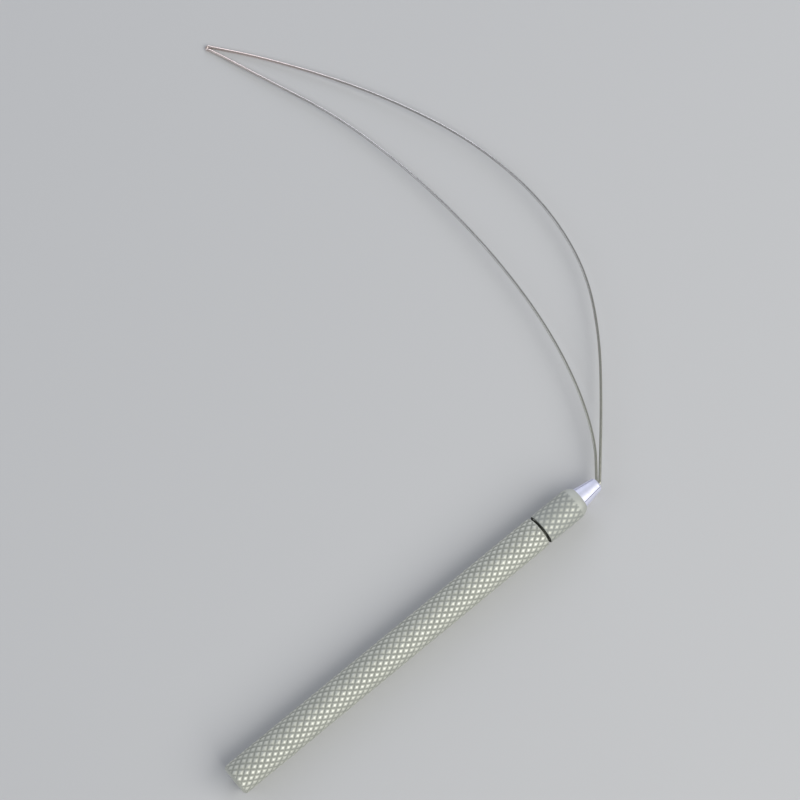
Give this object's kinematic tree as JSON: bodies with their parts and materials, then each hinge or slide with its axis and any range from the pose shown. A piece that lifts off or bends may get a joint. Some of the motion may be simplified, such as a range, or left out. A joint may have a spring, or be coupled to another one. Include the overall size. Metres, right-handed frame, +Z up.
{
  "type": "wire loop threading tool",
  "caption": "Slim knurled metal handle with a screw chuck that grips a long, bowed, pointed loop of doubled spring wire.",
  "frame": {"origin": "centre of the handle's flat back face, on the handle's axis", "axes": "+X along the handle from its back face to the chuck's nose; +Y to the side the loop bows out to; +Z up from the table it lies on"},
  "size_m": [0.1278, 0.1344, 0.007],
  "materials": {
    "knurled_aluminium": "satin, diamond knurled",
    "nut_aluminium": "satin, finely diamond knurled",
    "nickel_plate": "polished nickel plate",
    "spring_wire": "bright drawn spring steel"
  },
  "bodies": {
    "handle": {"barrel": "knurled_aluminium"},
    "chuck": {"collet": "nickel_plate"},
    "nut": {"chuck_nut": "nut_aluminium"},
    "loop": {"wire_loop": "spring_wire"}
  },
  "joints": [
    {"name": "chuck_travel", "type": "slide", "parent": "handle", "child": "chuck", "axis": [1, 0, 0], "range_m": [0, 0.006]},
    {"name": "nut_turn", "type": "hinge", "parent": "chuck", "child": "nut", "pos_m": [0.086, 0, 0], "axis": [1, 0, 0], "range_deg": [0, 4321]},
    {"name": "wire_pull", "type": "slide", "parent": "chuck", "child": "loop", "axis": [1, 0, 0], "range_m": [0, 0.022]}
  ],
  "couplings": [
    {"joint": "nut_turn", "follows": "chuck_travel", "rad_per_m": 12566}
  ]
}
